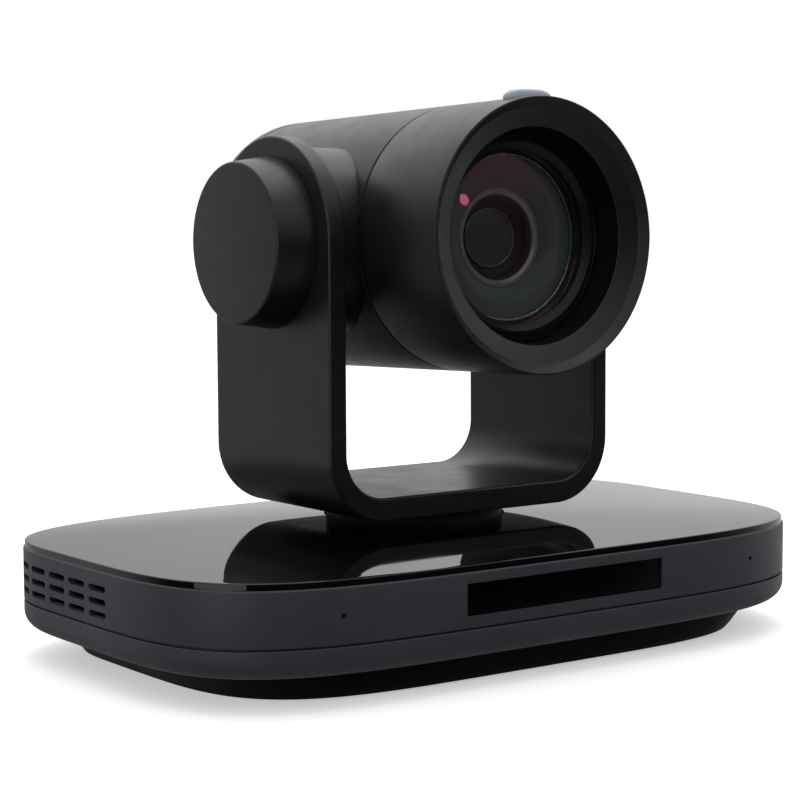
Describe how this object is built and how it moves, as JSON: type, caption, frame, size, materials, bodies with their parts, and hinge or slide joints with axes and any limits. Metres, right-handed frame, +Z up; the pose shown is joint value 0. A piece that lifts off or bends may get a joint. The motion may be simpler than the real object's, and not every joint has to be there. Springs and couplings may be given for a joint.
{
  "type": "ptz camera",
  "caption": "Pan-tilt-zoom conference camera: a barrel head tilts between the arms of a U-shaped yoke that pans on a low, wide base with a glossy top.",
  "frame": {"origin": "centre of the base's bounding box on the surface it stands on", "axes": "+Z up, -Y the way the lens looks (1.6 degrees above level in the pose drawn), +X along the tilt axis"},
  "size_m": [0.2572, 0.16, 0.185],
  "materials": {
    "case_plastic": "satin anthracite",
    "plinth_plastic": "satin black",
    "plate_gloss": "polished black",
    "window_plastic": "dark infrared filter",
    "foot_rubber": "matte",
    "insert_brass": "machined",
    "board_green": "solder mask",
    "chip_black": "moulded",
    "sink_aluminium": "extruded",
    "panel_black": "satin",
    "socket_steel": "plated",
    "socket_plastic": "moulded",
    "plate_steel": "zinc plated",
    "shaft_steel": "turned",
    "motor_steel": "dark",
    "gear_plastic": "moulded acetal",
    "frame_metal": "black die cast",
    "lens_black": "matte black",
    "retainer_metal": "anodised",
    "front_glass": "coated",
    "inner_glass": "coated",
    "sensor_glass": "glossy",
    "tally_plastic": "translucent pale blue",
    "led_plastic": "diffuse",
    "receiver_plastic": "dark",
    "capsule_metal": "drawn"
  },
  "bodies": {
    "base": {"foot_pads": "foot_rubber", "plinth": "plinth_plastic", "tripod_insert": "insert_brass", "lower_shell": "case_plastic", "upper_band": "case_plastic", "top_plate": "plate_gloss", "ir_window": "window_plastic", "ir_receiver": "receiver_plastic", "status_leds": "led_plastic", "mic_capsules": "capsule_metal", "main_board": "board_green", "board_chips": "chip_black", "heat_sink": "sink_aluminium", "rear_panel": "panel_black", "dc_jack": "socket_plastic", "lan_jack": "socket_steel", "usb_socket": "socket_steel", "hdmi_socket": "socket_steel", "serial_sockets": "socket_plastic", "deck_plate": "plate_steel", "pan_bearing": "shaft_steel", "pan_motor": "motor_steel", "base_screws": "shaft_steel"},
    "yoke": {"yoke_frame": "case_plastic", "turntable": "panel_black", "pan_shaft": "shaft_steel", "pan_gear": "gear_plastic", "pan_nut": "shaft_steel", "hub_cap_left": "case_plastic", "hub_cap_right": "case_plastic", "tilt_bush_left": "insert_brass", "tilt_bush_right": "insert_brass", "tilt_gear": "gear_plastic"},
    "head": {"barrel_shell": "case_plastic", "front_bezel": "case_plastic", "rear_cover": "case_plastic", "side_boss_left": "case_plastic", "side_boss_right": "case_plastic", "tilt_shaft_left": "shaft_steel", "tilt_shaft_right": "shaft_steel", "shaft_rings": "shaft_steel", "lens_frame": "frame_metal", "guide_rods": "shaft_steel", "lens_tube": "lens_black", "front_retainer": "lens_black", "front_glass": "front_glass", "baffle_ring": "lens_black", "second_retainer": "retainer_metal", "second_glass": "inner_glass", "third_glass": "inner_glass", "image_sensor": "sensor_glass", "sensor_board": "board_green", "tally_light": "tally_plastic", "tilt_motor": "motor_steel"},
    "pan_pinion": {"pan_pinion": "gear_plastic"},
    "tilt_pinion": {"tilt_pinion": "gear_plastic"},
    "zoom_group": {"zoom_carrier": "lens_black", "zoom_glass": "inner_glass"},
    "focus_group": {"focus_carrier": "lens_black", "focus_glass": "inner_glass"}
  },
  "joints": [
    {"name": "pan", "type": "hinge", "parent": "base", "child": "yoke", "pos_m": [0, 0.0024, 0.04], "axis": [0, 0, 1], "range_deg": [-170, 170]},
    {"name": "tilt", "type": "hinge", "parent": "yoke", "child": "head", "pos_m": [0, 0.0024, 0.1366], "axis": [1, 0, 0], "range_deg": [-88.4, 31.6]},
    {"name": "pan_pinion_spin", "type": "hinge", "parent": "base", "child": "pan_pinion", "pos_m": [0, -0.0336, 0.0327], "axis": [0, 0, 1], "range_deg": [-860, 860]},
    {"name": "tilt_pinion_spin", "type": "hinge", "parent": "head", "child": "tilt_pinion", "pos_m": [-0.0483, 0.02039, 0.1361], "axis": [1, 0, 0], "range_deg": [-360, 130]},
    {"name": "zoom_slide", "type": "slide", "parent": "head", "child": "zoom_group", "axis": [0, 0.9996, -0.0279], "range_m": [0, 0.013]},
    {"name": "focus_slide", "type": "slide", "parent": "head", "child": "focus_group", "axis": [0, 0.9996, -0.0279], "range_m": [-0.004, 0.004]}
  ],
  "couplings": [
    {"joint": "pan_pinion_spin", "follows": "pan", "ratio": -5},
    {"joint": "tilt_pinion_spin", "follows": "tilt", "ratio": 4}
  ]
}
